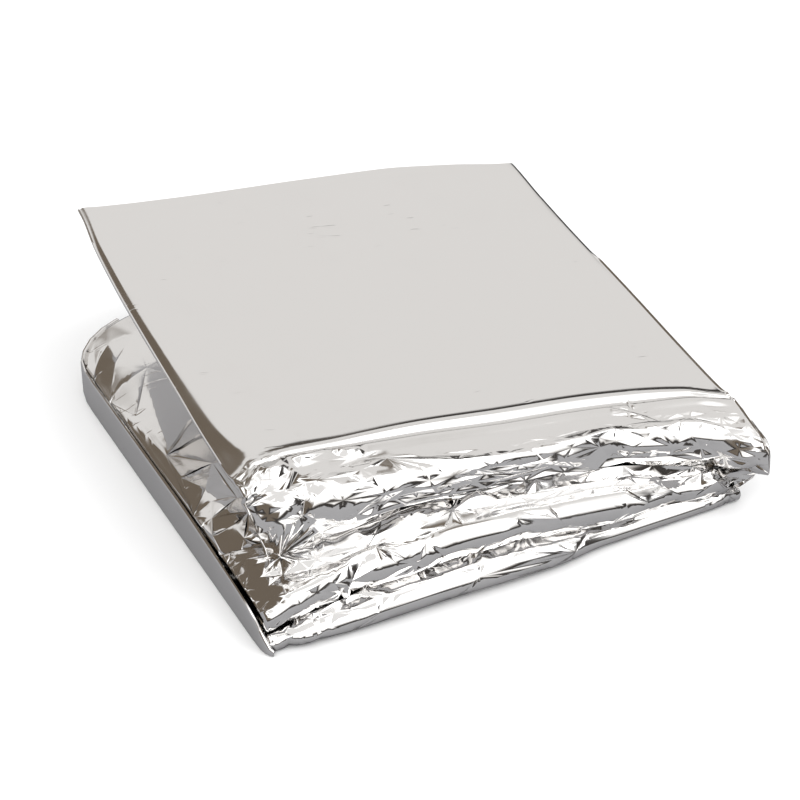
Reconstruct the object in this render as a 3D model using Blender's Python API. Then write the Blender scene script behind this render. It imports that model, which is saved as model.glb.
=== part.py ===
"""Emergency foil blanket: one metallised film sheet, folded into a flat packet.

The sheet runs back and forth in six layers.  Five lie in the lower leaf, and the
sixth is the upper leaf, which springs open from the front like the cover of a book.
Its folds stand in the YZ plane and the sheet is as wide as the packet along X.
Metres, +Z up, origin under the middle of the packet on the surface it lies on.
"""
import math

import bmesh
import bpy

MM = 0.001

# ---- driving dimensions (millimetres) -----------------------------------------------
SHEET = 1.2                 # one layer of the folded film, many plies pressed together
GAP = 0.3                   # between two layers that lie on each other
PITCH = SHEET + GAP
HALF = SHEET / 2
LEAF_WIDTH = 99.0           # lower leaf, left side to right side
LEAF_DEPTH = 117.5          # lower leaf, front lip to back folds
NOSE_BASE = 1.0             # how far a front fold bulges, whatever its height
NOSE_SHARE = 0.33           # and for each millimetre of its height
LEAF_CORNER = (4.2, 22.8, 22.2)     # a point on the upper leaf's top, front left
LEAF_SLOPE_X = -0.058       # the upper leaf sinks towards the right
LEAF_SLOPE_Y = 0.086        # and rises towards the back
CENTRE = (55.61, 60.57)     # middle of the packet's outline in plan

# ---- the front folds, one row for each station across the width ----------------------
# u: share of the width.  *_nose: how far back the fold's outermost line lies.
# *_low, *_high: middle of the layer under and over the fold.  shelf_high: the same for
# the layer that the top fold rests on.  sink: how far the top fold's back stands lower
# than the flat top.
COLUMNS = ("u", "lip_nose", "lip_high", "mid_nose", "mid_low", "mid_high",
           "shelf_high", "top_nose", "top_low", "sink")
FRONT = [
    (0.00, 0.1, 2.1, 2.2, 3.6, 6.4, 6.6, 15.2, 9.9, 1.8),
    (0.06, -0.6, 3.0, 2.2, 4.5, 8.6, 8.6, 12.4, 11.2, 1.0),
    (0.16, -0.8, 3.6, 2.8, 5.1, 9.8, 10.5, 12.4, 12.3, 0.2),
    (0.30, -0.5, 4.4, 4.0, 5.9, 10.4, 11.7, 13.2, 13.3, 0.2),
    (0.45, -0.2, 4.6, 4.4, 6.1, 10.3, 11.4, 12.8, 13.0, 0.3),
    (0.60, 0.9, 3.6, 4.6, 5.1, 9.4, 10.2, 12.6, 11.8, 0.2),
    (0.75, 3.3, 2.3, 5.0, 3.8, 7.9, 8.0, 12.0, 9.6, 0.3),
    (0.90, 4.4, 2.1, 5.4, 3.6, 5.9, 6.1, 8.8, 7.6, 0.4),
    (1.00, 5.0, 2.1, 6.4, 3.6, 5.1, 5.1, 2.4, 6.7, 1.0),
]

# ---- dents pressed into the front folds: u, half width as a share of u, depth --------
LIP_DENTS = [(0.035, 0.03, 0.7), (0.66, 0.05, 0.5)]
MID_DENTS = [(0.10, 0.03, 0.8), (0.19, 0.035, 1.0), (0.38, 0.05, 0.4), (0.52, 0.04, 0.6),
             (0.83, 0.05, 0.7)]
TOP_DENTS = [(0.09, 0.03, 1.1), (0.24, 0.035, 0.7), (0.41, 0.04, 0.8), (0.57, 0.04, 0.6),
             (0.71, 0.05, 0.9), (0.88, 0.03, 0.5)]

# ---- plan outline of the lower leaf's back: u, and how far it falls short ------------
BACK_CUT = [(0.00, 18.8), (0.02, 14.6), (0.06, 9.0), (0.12, 4.4), (0.20, 1.4),
            (0.30, 0.4), (0.90, 0.4), (0.97, 1.2), (1.00, 3.0)]
# ---- extra space between the lower leaf's layers, looser in the middle: u, space -----
LOOSE = [(0.00, 0.0), (0.05, 0.22), (0.15, 0.34), (0.40, 0.38), (0.70, 0.32),
         (0.92, 0.12), (1.00, 0.0)]
# ---- back edge of the upper leaf: u, its distance back, and its droop ----------------
LEAF_BACK = [(0.00, 119.8, 0.0), (0.25, 120.8, 0.0), (0.50, 121.6, 0.0), (0.68, 121.8, 0.2),
             (0.84, 120.4, 1.2), (1.00, 117.8, 2.2)]
# ---- the crease that ends the upper leaf's flat top: u, its distance back ------------
CREASE = [(0.00, 23.6), (0.12, 26.0), (0.60, 26.0), (1.00, 23.2)]
# ---- the shoulder in front of the crease: distance behind it, and how far it dips ----
SHOULDER = [(-3.0, 0.35), (-0.8, 0.55), (0.6, 0.25)]
# ---- left and right sides of the upper leaf: distance back, x_left, x_right ----------
LEAF_SIDES = [(0.0, 3.9, 101.4), (23.0, 3.7, 102.8), (35.0, 3.8, 103.8), (50.0, 4.4, 105.0),
              (84.0, 5.9, 107.8), (122.0, 10.2, 111.3)]
TOP_FOLD_SIDES = (6.8, 101.4)       # x_left and x_right at the foot of the top fold

STATIONS = 42
TURN_STEPS = 5
LAYER_SHARES = (0.0, 0.18, 0.38, 0.56, 0.70, 0.82, 0.92)    # closer together at the front
LEAF_SHARES = (0.06, 0.2, 0.36, 0.52, 0.68, 0.84, 0.93, 1.0)
RAMP_START = 50.0           # where the layers start to spread towards the front folds
SHELF_REACH = 2.0           # how far layer 4 runs level behind the nose of the top fold
DROOP_START = 0.3           # share of the upper leaf that keeps to its plane
EASE = 4                    # points before the top fold where its sides start to move in


def between(rows, u, column):
    """Value of one column at u, by a smooth curve through the table's rows."""
    last = len(rows) - 1
    k = 0
    while k < last - 1 and u > rows[k + 1][0]:
        k += 1
    u0, u1 = rows[k][0], rows[k + 1][0]
    t = (u - u0) / (u1 - u0)
    p0, p1 = rows[k][column], rows[k + 1][column]

    def slope(i):
        if i == 0 or i == last:
            return 0.0
        left = (rows[i][column] - rows[i - 1][column]) / (rows[i][0] - rows[i - 1][0])
        right = (rows[i + 1][column] - rows[i][column]) / (rows[i + 1][0] - rows[i][0])
        if left * right <= 0:
            return 0.0
        return 2 * left * right / (left + right)

    m0, m1 = slope(k) * (u1 - u0), slope(k + 1) * (u1 - u0)
    a = 2 * t ** 3 - 3 * t ** 2 + 1
    b = t ** 3 - 2 * t ** 2 + t
    return a * p0 + b * m0 + (1 - a) * p1 + (t ** 3 - t ** 2) * m1


def smooth(t):
    """Ease from 0 to 1."""
    t = min(max(t, 0.0), 1.0)
    return t * t * (3 - 2 * t)


def mix(a, b, t):
    """A pair between two pairs."""
    return [p + (q - p) * t for p, q in zip(a, b)]


def leaf_top(x, y):
    """Height of the upper leaf's flat top over a point of the plan."""
    cx, cy, cz = LEAF_CORNER
    return cz + LEAF_SLOPE_X * (x - cx) + LEAF_SLOPE_Y * (y - cy)


def turn(centre_y, low, high, depth, towards):
    """Half an ellipse from the lower layer to the upper one; towards is -1 or 1."""
    middle, half = (low + high) / 2, (high - low) / 2
    points = []
    for k in range(TURN_STEPS + 1):
        a = -math.pi / 2 + math.pi * k / TURN_STEPS
        points.append((centre_y + towards * depth * math.cos(a), middle + half * math.sin(a)))
    return points


def nose_depth(low, high):
    """How far a front fold bulges: never so sharp that the sheet would cut into itself."""
    return min(NOSE_BASE + NOSE_SHARE * (high - low), ((high - low) / 2) ** 2 / (HALF + 0.05))


def layer(start, end, start_z, end_z):
    """A layer of the lower leaf, from its back fold to its front fold."""
    points = []
    for share in LAYER_SHARES:
        y = start + (end - start) * share
        rise = smooth((RAMP_START - y) / (RAMP_START - end))
        points.append((y, start_z + (end_z - start_z) * rise))
    return points


def dent(rows, u):
    """How deep the dents of a fold are at u."""
    return sum(depth * math.exp(-((u - place) / half) ** 2) for place, half, depth in rows)


def leaf_sides(y):
    """Left and right side of the upper leaf, a distance y back."""
    return between(LEAF_SIDES, y, 1), between(LEAF_SIDES, y, 2)


def section(u):
    """Middle line of the folded sheet at u, as rows of left side, right side, y and z."""
    at = {name: between(FRONT, u, i) for i, name in enumerate(COLUMNS) if i}
    back = LEAF_DEPTH - between(BACK_CUT, u, 1)
    inner_back = back - PITCH / 2
    step = PITCH + between(LOOSE, u, 1)
    rest = [HALF + step * k for k in range(5)]      # heights of layers 1 to 5 at the back

    lip_depth = nose_depth(HALF, at["lip_high"])
    lip_y = at["lip_nose"] + dent(LIP_DENTS, u) + HALF + lip_depth
    mid_depth = nose_depth(at["mid_low"], at["mid_high"])
    mid_y = at["mid_nose"] + dent(MID_DENTS, u) + mid_depth
    shelf_y = max(at["top_nose"], mid_y) + SHELF_REACH

    top_nose = at["top_nose"] + dent(TOP_DENTS, u)
    left, right = leaf_sides(top_nose)
    leaf_x = left + (right - left) * u
    top_high = leaf_top(leaf_x, top_nose) - HALF - at["sink"]
    top_depth = nose_depth(at["top_low"], top_high)
    top_y = top_nose + top_depth

    # layer 1 lies flat, the lip turns it over, and so on up to the top fold
    path = [(y, HALF) for y, z in layer(back, lip_y, HALF, HALF)]
    path += turn(lip_y, HALF, at["lip_high"], lip_depth, -1)
    path += layer(inner_back, lip_y, rest[1], at["lip_high"])[:0:-1]
    path += turn(inner_back, rest[1], rest[2], PITCH / 2, 1)
    path += layer(inner_back, mid_y, rest[2], at["mid_low"])[1:]
    path += turn(mid_y, at["mid_low"], at["mid_high"], mid_depth, -1)
    path += [((mid_y + shelf_y) / 2, (at["mid_high"] + at["shelf_high"]) / 2)]
    path += [(shelf_y, at["shelf_high"])]
    path += layer(inner_back, shelf_y, rest[3], at["shelf_high"])[:0:-1]
    path += turn(inner_back, rest[3], rest[4], PITCH / 2, 1)
    path += layer(inner_back, top_y, rest[4], at["top_low"])[1:]
    lower_count = len(path)
    path += turn(top_y, at["top_low"], top_high, top_depth, -1)

    # the upper leaf: shoulder, crease, then flat to its back edge
    crease = between(CREASE, u, 1)
    leaf_end = between(LEAF_BACK, u, 1)
    droop = between(LEAF_BACK, u, 2)
    for behind, dip in SHOULDER:
        y = crease + behind
        path.append((y, leaf_top(leaf_x, y) - HALF - dip))
    for share in LEAF_SHARES:
        y = crease + (leaf_end - crease) * share
        left, right = leaf_sides(y)
        top = leaf_top(left + (right - left) * u, y)
        sag = droop * smooth((share - DROOP_START) / (1 - DROOP_START))
        path.append((y, top - HALF - sag))

    # the lower leaf's sides are straight, and the top fold leads over to the upper leaf's
    rows = []
    for k, (y, z) in enumerate(path):
        before = smooth((k - lower_count + EASE) / EASE)
        after = smooth((k - lower_count) / TURN_STEPS)
        left, right = mix((0.0, LEAF_WIDTH), TOP_FOLD_SIDES, before)
        left, right = mix((left, right), leaf_sides(max(y, 0.0)), after)
        rows.append((left, right, y, z))
    return rows


def offsets(points):
    """Unit normals of the path, lengthened in the bends so that the sheet keeps its thickness."""
    normals = []
    for k in range(len(points)):
        total = [0.0, 0.0]
        parts = []
        for a, b in ((k - 1, k), (k, k + 1)):
            if a < 0 or b >= len(points):
                continue
            dy, dz = points[b][0] - points[a][0], points[b][1] - points[a][1]
            length = math.hypot(dy, dz)
            parts.append((dy / length, dz / length))
            total[0] += dy / length
            total[1] += dz / length
        size = math.hypot(*total)
        along = (total[0] / size, total[1] / size)
        stretch = 1 / (parts[0][0] * along[0] + parts[0][1] * along[1])
        normals.append((-along[1] * stretch, along[0] * stretch))
    return normals


def folded_sheet(name):
    """The sheet as one closed mesh: a strip section, lofted across the width."""
    mesh = bmesh.new()
    rings = []
    for i in range(STATIONS):
        u = i / (STATIONS - 1)
        wave = math.cos(math.pi * u)
        u = 0.5 - 0.5 * wave * (0.75 + 0.25 * wave ** 2)        # closer together at the sides
        rows = section(u)
        path = [(y, z) for left, right, y, z in rows]
        normals = offsets(path)
        ring = []
        for side in (1, -1):
            line = []
            for (left, right, y, z), (ny, nz) in zip(rows, normals):
                x = left + (right - left) * u
                place = (x - CENTRE[0], y + side * HALF * ny - CENTRE[1], z + side * HALF * nz)
                line.append(mesh.verts.new([c * MM for c in place]))
            ring += line if side == 1 else line[::-1]
        rings.append(ring)
    count = len(rings[0])
    for a, b in zip(rings, rings[1:]):
        for k in range(count):
            n = (k + 1) % count
            mesh.faces.new((a[k], a[n], b[n], b[k]))
    for ring in (rings[0], rings[-1]):
        for k in range(count // 2 - 1):
            mesh.faces.new((ring[k], ring[k + 1], ring[count - 2 - k], ring[count - 1 - k]))
    bmesh.ops.recalc_face_normals(mesh, faces=mesh.faces)
    bmesh.ops.triangulate(mesh, faces=mesh.faces)
    data = bpy.data.meshes.new(name)
    mesh.to_mesh(data)
    mesh.free()
    return bpy.data.objects.new(name, data)


def film_material():
    material = bpy.data.materials.new("metallised_film")
    material.use_nodes = True
    shader = material.node_tree.nodes["Principled BSDF"]
    shader.inputs["Base Color"].default_value = (0.80, 0.79, 0.78, 1.0)
    shader.inputs["Metallic"].default_value = 1.0
    shader.inputs["Roughness"].default_value = 0.12
    return material


for old in list(bpy.data.objects):
    bpy.data.objects.remove(old)
blanket = folded_sheet("foil_blanket")
blanket.data.materials.append(film_material())
blanket.data.shade_smooth()
blanket.data.set_sharp_from_angle(angle=math.radians(40))
bpy.context.scene.collection.objects.link(blanket)
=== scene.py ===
import math
import random

import bmesh
import bpy
import numpy as np
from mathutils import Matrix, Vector
from mathutils.bvhtree import BVHTree
from mathutils.geometry import delaunay_2d_cdt
from mathutils.kdtree import KDTree


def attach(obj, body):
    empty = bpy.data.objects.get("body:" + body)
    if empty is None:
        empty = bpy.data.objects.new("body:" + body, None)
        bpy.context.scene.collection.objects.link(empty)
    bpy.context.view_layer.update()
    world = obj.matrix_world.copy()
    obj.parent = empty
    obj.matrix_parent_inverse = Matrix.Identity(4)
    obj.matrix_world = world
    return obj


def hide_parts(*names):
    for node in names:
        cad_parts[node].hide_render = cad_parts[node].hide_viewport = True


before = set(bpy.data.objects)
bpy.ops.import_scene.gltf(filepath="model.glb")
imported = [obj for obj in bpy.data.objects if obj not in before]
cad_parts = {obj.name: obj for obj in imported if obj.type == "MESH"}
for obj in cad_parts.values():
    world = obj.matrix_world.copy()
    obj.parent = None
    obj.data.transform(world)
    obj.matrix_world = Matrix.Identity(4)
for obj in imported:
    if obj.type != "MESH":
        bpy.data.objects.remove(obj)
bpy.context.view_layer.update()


# ---- the folded sheet ----
# One sheet of metallised film, folded back and forth into five layers and a raised
# sixth, the upper leaf.  Its section below runs from the bottom layer's back edge to the
# front lip, back again, and so on up to the leaf's back edge.  Lengths in millimetres.
MM = 0.001
SHEET = 1.2                 # one layer of the packet, many plies pressed together
HALF = SHEET / 2
PITCH = SHEET + 0.3         # from one resting layer to the next
LAYERS = 5                  # in the lower leaf
LEAF_WIDTH = 99.0           # the lower leaf, left side to right side
LEAF_DEPTH = 117.5          # the lower leaf, front lip to back folds
NOSE_BASE = 1.0             # how far a front fold bulges, whatever its height
NOSE_SHARE = 0.33           # and for each millimetre of its height
LEAF_CORNER = (4.2, 22.8, 22.2)     # a point on the upper leaf's top, front left
LEAF_SLOPE_X = -0.058       # the upper leaf sinks towards the right
LEAF_SLOPE_Y = 0.086        # and rises towards the back
CENTRE = (55.61, 60.57)     # middle of the packet's outline in plan

# the front folds, a row for each share u of the width: how far back each nose lies, the
# middle of the layer under and over it, and how far the top fold's back sinks
COLUMNS = ("u", "lip_nose", "lip_high", "mid_nose", "mid_low", "mid_high",
           "shelf_high", "top_nose", "top_low", "sink")
FRONT = [
    (0.00, 0.1, 2.1, 2.2, 3.6, 6.6, 7.2, 15.2, 9.2, 1.8),
    (0.06, -0.6, 3.0, 2.2, 4.5, 8.6, 9.2, 12.4, 10.6, 0.6),
    (0.16, -0.8, 3.6, 2.8, 5.1, 9.8, 10.5, 12.4, 12.3, 0.2),
    (0.30, -0.5, 4.4, 4.0, 5.9, 10.4, 11.7, 13.2, 13.3, 0.2),
    (0.45, -0.2, 4.6, 4.4, 6.1, 10.3, 11.4, 12.8, 13.0, 0.3),
    (0.60, 0.9, 3.6, 4.6, 5.1, 9.4, 10.2, 12.6, 11.8, 0.2),
    (0.75, 3.3, 2.3, 5.0, 3.8, 7.9, 8.0, 12.0, 9.6, 0.3),
    (0.91, 4.4, 2.1, 5.4, 3.6, 5.8, 6.0, 8.6, 7.5, 0.4),
    (1.00, 5.2, 2.1, 6.8, 3.6, 6.0, 6.0, 2.6, 7.9, 1.0),
]
# dents pressed into them: u, half width as a share of u, depth
LIP_DENTS = [(0.035, 0.03, 0.7), (0.66, 0.05, 0.5)]
MID_DENTS = [(0.10, 0.03, 0.8), (0.19, 0.035, 1.0), (0.38, 0.05, 0.4), (0.52, 0.04, 0.6),
             (0.83, 0.05, 0.7)]
TOP_DENTS = [(0.09, 0.03, 1.1), (0.24, 0.035, 0.7), (0.41, 0.04, 0.8), (0.57, 0.04, 0.6),
             (0.71, 0.05, 0.9), (0.88, 0.03, 0.5)]
# the lower leaf's back: u, and how far it falls short of the full depth
BACK_CUT = [(0.00, 18.8), (0.02, 14.6), (0.06, 9.0), (0.12, 4.4), (0.20, 1.4),
            (0.30, 0.4), (0.90, 0.4), (0.97, 1.2), (1.00, 3.0)]
# extra space between the lower leaf's layers: u, space
LOOSE = [(0.00, 0.0), (0.05, 0.22), (0.15, 0.34), (0.40, 0.38), (0.70, 0.32),
         (0.92, 0.12), (1.00, 0.0)]
# the upper leaf's back edge: u, its distance back, and how far it droops
LEAF_BACK = [(0.00, 120.2, -0.9), (0.12, 120.4, -0.5), (0.30, 121.0, -0.1), (0.50, 121.6, 0.0),
             (0.68, 121.8, 0.1), (0.84, 120.8, 0.7), (1.00, 118.6, 1.2)]
# the pinched crease across the upper leaf: u, its distance back, width of the strip that
# falls away in front of it
CREASE = [(0.00, 21.2, 0.8), (0.05, 24.2, 0.9), (0.12, 25.7, 1.0), (0.19, 26.2, 1.2),
          (0.35, 26.7, 1.9), (0.55, 25.5, 2.2), (0.68, 24.9, 2.2), (0.82, 23.2, 2.0),
          (0.92, 20.8, 1.3), (1.00, 17.2, 0.8)]
CREST = 0.50                # height of the pinched line over the leaf
STRIP_FALL = 0.42           # how steeply the strip falls, and how far the film springs back
SPRING = 0.40
# roll of the leaf's left side: distance back, how wide, and its slope at the very edge
LEFT_ROLL = [(15.0, 6.0, 0.30), (25.0, 6.4, 0.38), (31.0, 4.6, 0.42), (38.0, 3.3, 0.44),
             (60.0, 2.3, 0.44), (95.0, 1.5, 0.50), (122.0, 1.2, 0.54)]
ROLL_LIFT = 0.5             # share of the roll's depth by which the film swells behind it
# the upper leaf's sides: distance back, left side, right side
LEAF_SIDES = [(0.0, 3.9, 102.2), (23.0, 3.7, 103.0), (35.0, 3.8, 103.8), (50.0, 4.4, 105.0),
              (84.0, 5.7, 107.9), (102.0, 6.9, 109.8), (122.0, 9.1, 111.8)]
TOP_FOLD_SIDES = (6.8, 102.4)       # the same at the foot of the top fold
FLARE = (3.4, 4.0)          # how far the middle fold's right side stands out, and its steps
RAMP_START = 50.0           # where the layers start to rise towards the front folds
SHELF_REACH = 2.0           # how far the fourth layer runs level behind the top fold's nose
DROOP_START = 0.3           # share of the upper leaf that keeps to its plane
BLUNT = 0.25                # the middle fold: 1 is an even oval, less is a fuller lower half
TOP_BLUNT = 0.14            # the same for the top fold
TOP_SHARE = 0.7             # the top fold bulges less than the two others, for its height
LEFT_SIDE = 0.9             # the hem of the outer ply stands outside the lower leaf here
RISE_EDGE = 6.5             # the top fold lifts the fifth layer only this far from the side
BLEND = 4.0                 # along the sheet, how soon the top fold's sides move in

# how closely the section is followed: shares of each layer, and steps round each turn
LAYER_TO_NOSE = [k / 12 for k in range(12)] + [0.94, 0.96, 0.975, 0.99]
SHELF_STEPS = 15
SHOULDER_STEPS = 16
LEAF_STEPS = 60
TURN_STEPS = 24
STATIONS = 161              # across the packet


def between(rows, u, column):
    """Value of one column at u, by a smooth curve through the table's rows."""
    last = len(rows) - 1
    k = 0
    while k < last - 1 and u > rows[k + 1][0]:
        k += 1
    u0, u1 = rows[k][0], rows[k + 1][0]
    t = (u - u0) / (u1 - u0)
    p0, p1 = rows[k][column], rows[k + 1][column]

    def slope(i):
        if i == 0 or i == last:
            return 0.0
        left = (rows[i][column] - rows[i - 1][column]) / (rows[i][0] - rows[i - 1][0])
        right = (rows[i + 1][column] - rows[i][column]) / (rows[i + 1][0] - rows[i][0])
        if left * right <= 0:
            return 0.0
        return 2 * left * right / (left + right)

    m0, m1 = slope(k) * (u1 - u0), slope(k + 1) * (u1 - u0)
    a = 2 * t ** 3 - 3 * t ** 2 + 1
    b = t ** 3 - 2 * t ** 2 + t
    return a * p0 + b * m0 + (1 - a) * p1 + (t ** 3 - t ** 2) * m1


def smooth(t):
    """Ease from 0 to 1."""
    t = min(max(t, 0.0), 1.0)
    return t * t * (3 - 2 * t)


def leaf_top(x, y):
    """Height of the upper leaf's flat top over a point of the plan."""
    cx, cy, cz = LEAF_CORNER
    return cz + LEAF_SLOPE_X * (x - cx) + LEAF_SLOPE_Y * (y - cy)


def leaf_sides(y):
    """Left and right side of the upper leaf, a distance y back."""
    return between(LEAF_SIDES, y, 1), between(LEAF_SIDES, y, 2)


def dent(rows, u):
    """How deep the dents of a fold are at u."""
    return sum(depth * math.exp(-((u - place) / half) ** 2) for place, half, depth in rows)


def nose_depth(low, high):
    """How far a front fold bulges, so that the sheet doesn't cut into itself."""
    roundest = ((high - low) / 2) ** 2 / (HALF + 0.05)
    return min(NOSE_BASE + NOSE_SHARE * (high - low), roundest)


def turn(centre_y, low, high, depth, towards, blunt=1.0, steps=TURN_STEPS):
    """Half an oval from the lower layer to the upper one; towards is -1 or 1.  Its lower
    half is blunt where the film hangs over the fold below."""
    middle, half = (low + high) / 2, (high - low) / 2
    points = []
    for k in range(steps + 1):
        a = -math.pi / 2 + math.pi * k / steps
        reach = max(math.cos(a), 0.0)
        reach = reach ** (blunt if a < 0 else 1.0)
        points.append((centre_y + towards * depth * reach, middle + half * math.sin(a)))
    return points


def layer(start, end, start_z, end_z):
    """A layer of the lower leaf, from its back fold to its front fold."""
    points = []
    for share in LAYER_TO_NOSE:
        y = start + (end - start) * share
        rise = smooth((RAMP_START - y) / (RAMP_START - end))
        points.append((y, start_z + (end_z - start_z) * rise))
    return points


def section(u):
    """Middle line of the folded sheet at u: rows of left side, right side, y and z, and
    the row at which each named fold has its nose."""
    at = {name: between(FRONT, u, i) for i, name in enumerate(COLUMNS) if i}
    back = LEAF_DEPTH - between(BACK_CUT, u, 1)
    inner_back = back - PITCH / 2
    step = PITCH + between(LOOSE, u, 1)
    rest = [HALF + step * k for k in range(LAYERS)]

    lip_depth = nose_depth(HALF, at["lip_high"])
    lip_y = at["lip_nose"] + dent(LIP_DENTS, u) + HALF + lip_depth
    mid_depth = nose_depth(at["mid_low"], at["mid_high"])
    mid_y = at["mid_nose"] + dent(MID_DENTS, u) + mid_depth
    shelf_y = max(at["top_nose"], mid_y) + SHELF_REACH

    top_nose = at["top_nose"] + dent(TOP_DENTS, u)
    left, right = leaf_sides(top_nose)
    leaf_x = left + (right - left) * u
    top_high = leaf_top(leaf_x, top_nose) - HALF - at["sink"]
    top_depth = nose_depth(at["top_low"], top_high) * TOP_SHARE
    top_y = top_nose + top_depth
    nose = {}

    def add_turn(name, *facts):
        nose[name] = len(path) + TURN_STEPS // 2
        return turn(*facts)

    path = [(y, HALF) for y, z in layer(back, lip_y, HALF, HALF)]
    path += add_turn("lip", lip_y, HALF, at["lip_high"], lip_depth, -1)
    path += layer(inner_back, lip_y, rest[1], at["lip_high"])[:0:-1]
    path += turn(inner_back, rest[1], rest[2], PITCH / 2, 1)
    path += layer(inner_back, mid_y, rest[2], at["mid_low"])[1:]
    path += add_turn("mid", mid_y, at["mid_low"], at["mid_high"], mid_depth, -1, BLUNT)
    for k in range(1, SHELF_STEPS):
        s = k / SHELF_STEPS
        path.append((mid_y + (shelf_y - mid_y) * s,
                     at["mid_high"] + (at["shelf_high"] - at["mid_high"]) * smooth(s)))
    path += [(shelf_y, at["shelf_high"])]
    path += layer(inner_back, shelf_y, rest[3], at["shelf_high"])[:0:-1]
    path += turn(inner_back, rest[3], rest[4], PITCH / 2, 1)
    floor_start = len(path)
    path += layer(inner_back, top_y, rest[4], at["top_low"])[1:]
    lower_count = len(path)
    path += add_turn("top", top_y, at["top_low"], top_high, top_depth, -1, TOP_BLUNT)

    # the upper leaf: the shoulder behind the top fold, the crease, then flat to the back
    crease, strip = between(CREASE, u, 1), between(CREASE, u, 2)
    leaf_end = between(LEAF_BACK, u, 1)
    droop = between(LEAF_BACK, u, 2)
    foot = STRIP_FALL * strip - CREST
    # distance behind the crease, and how far the film lies under the leaf's plane there
    shoulder = [(-strip - 3.6, foot + 0.04), (-strip - 2.4, foot - 0.2),
                (-strip - 1.3, foot - SPRING), (-strip, foot),
                (-strip * 0.5, (foot - CREST) / 2), (0.0, -CREST), (0.2, -CREST + 0.02),
                (0.9, -CREST * 0.5), (1.6, -0.03), (2.6, 0.0)]
    first = crease + shoulder[0][0]
    for k in range(1, SHOULDER_STEPS):
        s = k / SHOULDER_STEPS
        y = top_y + (first - top_y) * s
        dip = at["sink"] + (shoulder[0][1] - at["sink"]) * smooth(s)
        path.append((y, leaf_top(leaf_x, y) - HALF - dip))
    nose["crease"] = len(path) + 5
    for behind, dip in shoulder:
        y = crease + behind
        path.append((y, leaf_top(leaf_x, y) - HALF - dip))
    start = crease + shoulder[-1][0]
    for k in range(1, LEAF_STEPS + 1):
        share = k / LEAF_STEPS
        y = start + (leaf_end - start) * share
        left, right = leaf_sides(y)
        top = leaf_top(left + (right - left) * u, y)
        sag = droop * smooth((share - DROOP_START) / (1 - DROOP_START))
        path.append((y, top - HALF - sag))
    nose["floor"] = floor_start

    # the lower leaf's sides are straight, and the top fold leads over to the upper leaf's
    rows = []
    for k, (y, z) in enumerate(path):
        before = smooth((y - top_y) / -BLEND + 1) if k < lower_count else 1.0
        before = before if k > floor_start else 0.0
        after = smooth((k - lower_count) / TURN_STEPS)
        left = LEFT_SIDE + (TOP_FOLD_SIDES[0] - LEFT_SIDE) * before
        right = LEAF_WIDTH + (TOP_FOLD_SIDES[1] - LEAF_WIDTH) * before
        right += FLARE[0] * math.exp(-((k - nose["mid"]) / FLARE[1]) ** 2)
        leaf_left, leaf_right = leaf_sides(max(y, 0.0))
        left += (leaf_left - left) * after
        right += (leaf_right - right) * after
        if floor_start < k < lower_count:
            from_side = left + (right - left) * u - LEFT_SIDE
            z = rest[4] + (z - rest[4]) * smooth(from_side / (RISE_EDGE - LEFT_SIDE))
        if k > lower_count + TURN_STEPS // 2:
            spot = max(y, LEFT_ROLL[0][0])
            wide, steep = between(LEFT_ROLL, spot, 1), between(LEFT_ROLL, spot, 2)
            inside = (right - left) * u
            roll = ROLL_LIFT * wide * smooth(1 - (inside - wide) / (3 * wide)) / 2
            roll -= max(0.0, wide - inside) ** 2 / (2 * wide)
            z += steep * roll * smooth((k - lower_count) / TURN_STEPS - 0.5)
        rows.append((left, right, y, z))
    return rows, nose


# the middle surface: points at each station across and each step along the section
rows = []
for i in range(STATIONS):
    u = i / (STATIONS - 1)
    path, NOSE_ROW = section(u)
    rows.append([(left + (right - left) * u, y, z) for left, right, y, z in path])
MIDDLE = np.array(rows)
steps = np.linalg.norm(np.diff(MIDDLE[:, :, 1:], axis=1), axis=2).mean(axis=0)
ALONG = np.concatenate([[0.0], np.cumsum(steps)])      # distance along the sheet
WIDTH = LEAF_WIDTH
SHEET_END = float(ALONG[-1])
NOSE = {name: float(ALONG[row]) for name, row in NOSE_ROW.items()}      # where each fold lies
NORMALS = np.cross(np.gradient(MIDDLE, axis=0), np.gradient(MIDDLE, axis=1))
NORMALS /= np.linalg.norm(NORMALS, axis=2, keepdims=True)


def on_sheet(points, height, side):
    """Points of the folded sheet's surface, from (along, across) pairs and heights."""
    along, across = points[:, 0], points[:, 1]
    k = np.clip(np.searchsorted(ALONG, along) - 1, 0, len(ALONG) - 2)
    s = np.clip((along - ALONG[k]) / (ALONG[k + 1] - ALONG[k]), 0, 1)[:, None]
    place = np.clip(across / WIDTH, 0, 1) * (STATIONS - 1)
    i = np.clip(place.astype(int), 0, STATIONS - 2)
    r = (place - i)[:, None]

    def look(grid):
        near = grid[i, k] * (1 - s) + grid[i, k + 1] * s
        far = grid[i + 1, k] * (1 - s) + grid[i + 1, k + 1] * s
        return near * (1 - r) + far * r

    normal = look(NORMALS)
    normal /= np.linalg.norm(normal, axis=1, keepdims=True)
    offset = (HALF + height)[:, None] * side
    return look(MIDDLE) + normal * offset - np.array([*CENTRE, 0.0])


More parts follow.
